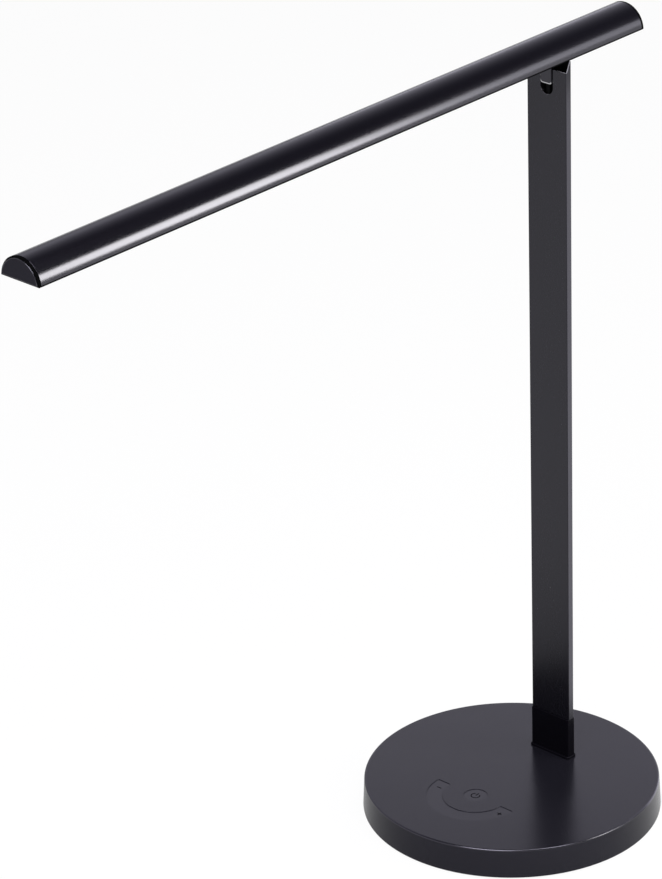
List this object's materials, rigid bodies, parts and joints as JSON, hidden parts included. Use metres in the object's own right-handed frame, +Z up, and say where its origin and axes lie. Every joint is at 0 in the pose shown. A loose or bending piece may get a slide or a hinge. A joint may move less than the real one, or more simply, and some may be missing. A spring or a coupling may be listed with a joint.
{
  "type": "desk lamp",
  "caption": "Slim LED desk lamp: a round weighted base with touch controls, a flat upright and a half-round light bar that tilts down on a friction hinge.",
  "frame": {"origin": "middle of the base's resting face, on the table", "axes": "+Z up; the user sits at -Y and the long end of the light bar points there; +X to the user's right"},
  "size_m": [0.1608, 0.4291, 0.4347],
  "materials": {
    "shell_plastic": "fine satin, moulded",
    "foot_plastic": "semi gloss, moulded",
    "cap_plastic": "satin, moulded",
    "black_aluminium": "satin black anodised",
    "ballast_steel": "rolled, zinc plated",
    "screw_steel": "zinc plated",
    "hinge_steel": "blackened",
    "pin_steel": "ground",
    "contact_copper": "tinned copper",
    "pad_rubber": "fine foam",
    "board_laminate": "solder mask",
    "strip_laminate": "white solder mask on metal",
    "chip_epoxy": "matte",
    "socket_nylon": "matte",
    "phosphor": "clear over yellow",
    "opal_plastic": "opal, frosted",
    "lead_jacket": "matte"
  },
  "bodies": {
    "stand": {"base_shell": "shell_plastic", "base_cover": "shell_plastic", "base_pad": "pad_rubber", "base_screws": "screw_steel", "base_ballast": "ballast_steel", "touch_board": "board_laminate", "touch_electrodes": "contact_copper", "control_chip": "chip_epoxy", "driver_coil": "chip_epoxy", "lead_sockets": "socket_nylon", "inlet_socket": "cap_plastic", "inlet_pin": "contact_copper", "inlet_lead": "lead_jacket", "upright_lead": "lead_jacket", "upright_foot": "foot_plastic", "foot_screws": "screw_steel", "upright_tube": "black_aluminium", "hinge_yoke": "hinge_steel", "hinge_pin": "pin_steel", "friction_washers": "pin_steel"},
    "head": {"hinge_arm": "hinge_steel", "arm_screws": "screw_steel", "head_housing": "black_aluminium", "front_cap": "cap_plastic", "rear_cap": "cap_plastic", "diffuser": "opal_plastic", "hinge_cover": "cap_plastic", "led_board": "strip_laminate", "led_chips": "phosphor", "head_leads": "lead_jacket"}
  },
  "joints": [
    {"name": "head_tilt", "type": "hinge", "parent": "stand", "child": "head", "pos_m": [0, 0.0346, 0.41], "axis": [1, 0, 0], "range_deg": [0, 90]}
  ]
}
